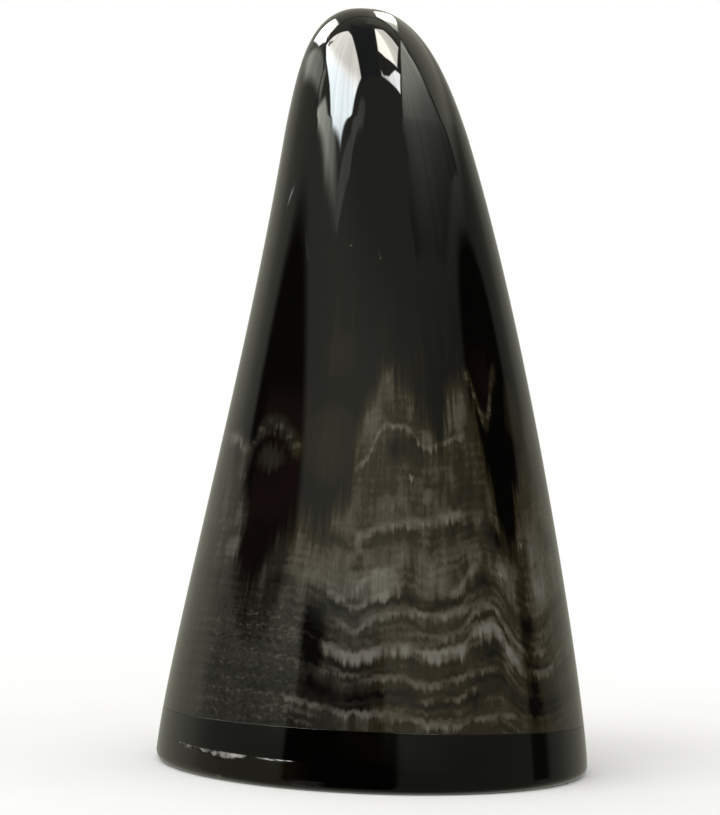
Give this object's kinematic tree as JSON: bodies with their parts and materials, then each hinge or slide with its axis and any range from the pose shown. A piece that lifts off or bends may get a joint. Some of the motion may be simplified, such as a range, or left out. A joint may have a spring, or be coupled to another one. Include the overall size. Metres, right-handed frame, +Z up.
{
  "type": "shofar",
  "caption": "Short polished horn shofar standing on its open bell, with a bored tip, a plain black band round the wide end and a rounded rim ring as its foot.",
  "frame": {"origin": "centre of the rim ring's flat underside, on the table", "axes": "+Z up along the horn from its bell to its tip, front of the picture towards -Y, tip bowed towards -X"},
  "size_m": [0.055, 0.055, 0.0962],
  "materials": {
    "streaked_horn": "polished dark horn with pale growth lines",
    "black_horn": "polished black horn",
    "rim_horn": "polished black horn, worn at the joint"
  },
  "bodies": {
    "root": {"horn_body": "streaked_horn", "bell_band": "black_horn", "rim_ring": "rim_horn"}
  },
  "joints": []
}
